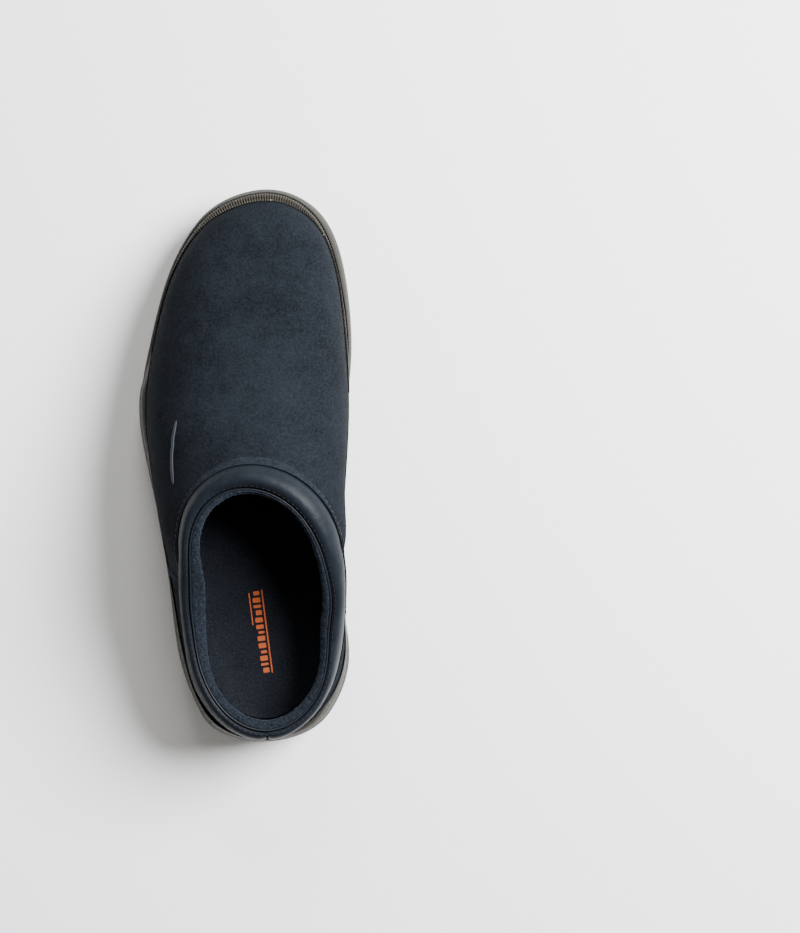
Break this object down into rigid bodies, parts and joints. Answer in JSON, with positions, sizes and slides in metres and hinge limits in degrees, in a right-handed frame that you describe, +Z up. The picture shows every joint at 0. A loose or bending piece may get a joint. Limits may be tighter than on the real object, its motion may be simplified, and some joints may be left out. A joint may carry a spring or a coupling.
{
  "type": "slip-on clog",
  "caption": "Left slip-on mule clog with suede upper, padded leather collar, fleece lining, drop-in footbed and cupped lugged rubber sole.",
  "frame": {"origin": "centre of the bounding box in plan, on the floor under the tread lugs", "axes": "+Y toward the toe, +X toward the inner side of the foot, +Z up"},
  "size_m": [0.1124, 0.292, 0.0928],
  "materials": {
    "outsole_rubber": "moulded satin, grey",
    "midsole_foam": "fine-grained dark foam rubber",
    "foxing_rubber": "ribbed and granular, dark olive brown with light flecks",
    "cup_rubber": "moulded satin, grey, grooved",
    "lasting_board": "raw fibre board",
    "bed_foam": "open-cell foam, olive brown",
    "bed_cloth": "flecked knit, navy",
    "bed_ink": "flat screen print, orange",
    "suede": "napped suede, navy, mottled",
    "puff_sheet": "plain stiffener sheet",
    "counter_sheet": "plain stiffener sheet",
    "fleece": "brushed fleece, navy",
    "collar_skin": "smooth grained leather, soft sheen, navy",
    "collar_pad": "open-cell padding foam",
    "piping": "glossy bound edge, near black"
  },
  "bodies": {
    "root": {"outsole": "outsole_rubber", "midsole": "midsole_foam", "toe_foxing": "foxing_rubber", "heel_cup": "cup_rubber", "strobel_board": "lasting_board", "footbed_foam": "bed_foam", "footbed_topcloth": "bed_cloth", "footbed_mark": "bed_ink", "suede_upper": "suede", "toe_puff": "puff_sheet", "heel_counter": "counter_sheet", "vamp_lining": "fleece", "quarter_lining": "fleece", "collar_leather": "collar_skin", "collar_foam": "collar_pad", "collar_piping": "piping"}
  },
  "joints": []
}
